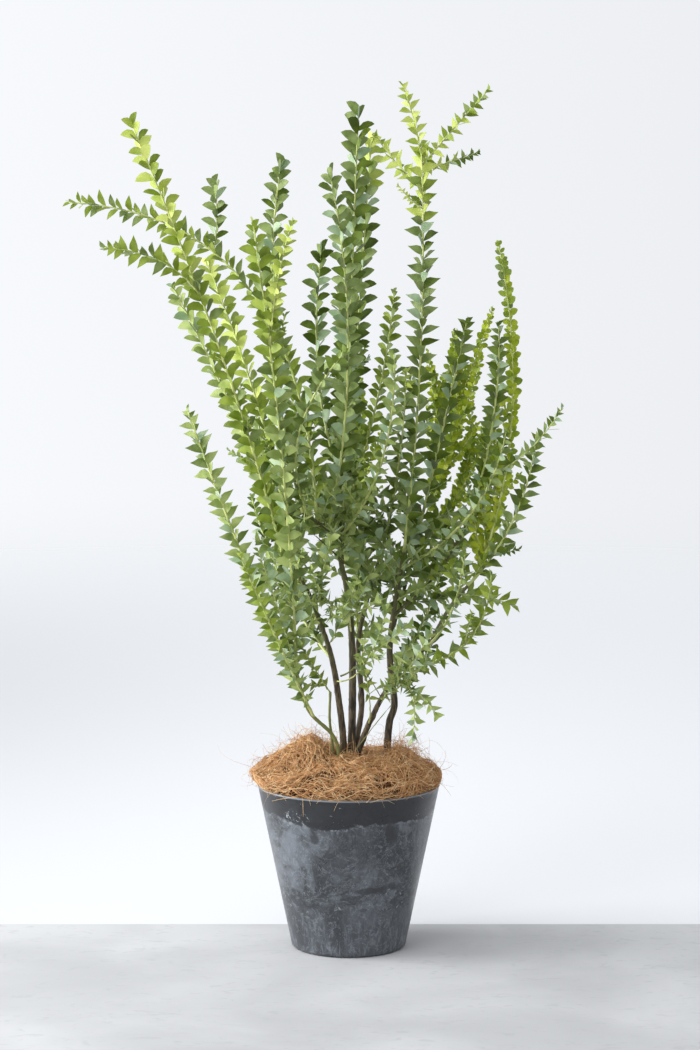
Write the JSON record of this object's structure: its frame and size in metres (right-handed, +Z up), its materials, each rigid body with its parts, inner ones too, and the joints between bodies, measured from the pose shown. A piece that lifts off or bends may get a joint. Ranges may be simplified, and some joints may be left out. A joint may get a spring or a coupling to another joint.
{
  "type": "potted knife-leaf wattle",
  "caption": "Many-stemmed knife-leaf wattle shrub with long leafy wands of small triangular leaves, in a tapered charcoal pot under a mound of coir mulch.",
  "frame": {"origin": "centre of the pot's flat underside, where it stands", "axes": "+Z up through the middle of the pot; -Y is the side seen in the picture, +X is to its right"},
  "size_m": [0.7548, 0.556, 1.3152],
  "materials": {
    "pot": "satin",
    "soil": "matte",
    "coir": "matte",
    "bark": "matte",
    "foliage": "matte",
    "young_foliage": "matte"
  },
  "bodies": {
    "root": {"pot": "pot", "soil": "soil", "coir_mulch": "coir", "trunk_main": "bark", "trunk_second": "bark", "trunk_left": "bark", "trunk_slant": "bark", "trunk_right": "bark", "stem_low_left": "bark", "stem_thin": "bark", "bough_right": "bark", "bough_left": "bark", "bough_back": "bark", "bough_low_left": "bark", "bough_back_right": "bark", "bough_mid_right": "bark", "wand_left_low": "foliage", "wand_left_lowest": "foliage", "wand_left_front": "foliage", "wand_left_upright": "foliage", "wand_far_left_arch": "foliage", "wand_far_left_tall": "foliage", "wand_left_back": "young_foliage", "wand_left_outer": "foliage", "wand_centre_curved": "foliage", "wand_centre_back": "foliage", "wand_centre_left": "foliage", "wand_centre_top": "foliage", "wand_centre_bright": "young_foliage", "wand_centre_right": "foliage", "wand_centre_front": "foliage", "wand_second_front": "foliage", "wand_right_top": "foliage", "wand_right_inner": "foliage", "wand_rear_right": "young_foliage", "wand_rear_outer": "young_foliage", "wand_rear_low": "young_foliage", "wand_rear_middle": "young_foliage", "wand_rear_left": "foliage", "wand_rear_left_side": "foliage", "wand_rear_high": "foliage", "wand_rear_right_side": "foliage", "wand_left_side_low": "foliage", "wand_right_side_low": "foliage", "wand_rear_lowest": "foliage", "wand_right_bright": "young_foliage", "wand_right_mid": "foliage", "wand_right_front": "foliage", "wand_right_outer": "foliage", "wand_low_right": "foliage", "wand_low_right_front": "foliage", "spray_drooping": "foliage", "spray_thin": "foliage", "spray_front_left": "foliage", "spray_front": "foliage", "spray_front_low": "foliage", "spray_front_right": "foliage", "spray_right": "foliage", "spray_foot": "foliage"}
  },
  "joints": []
}
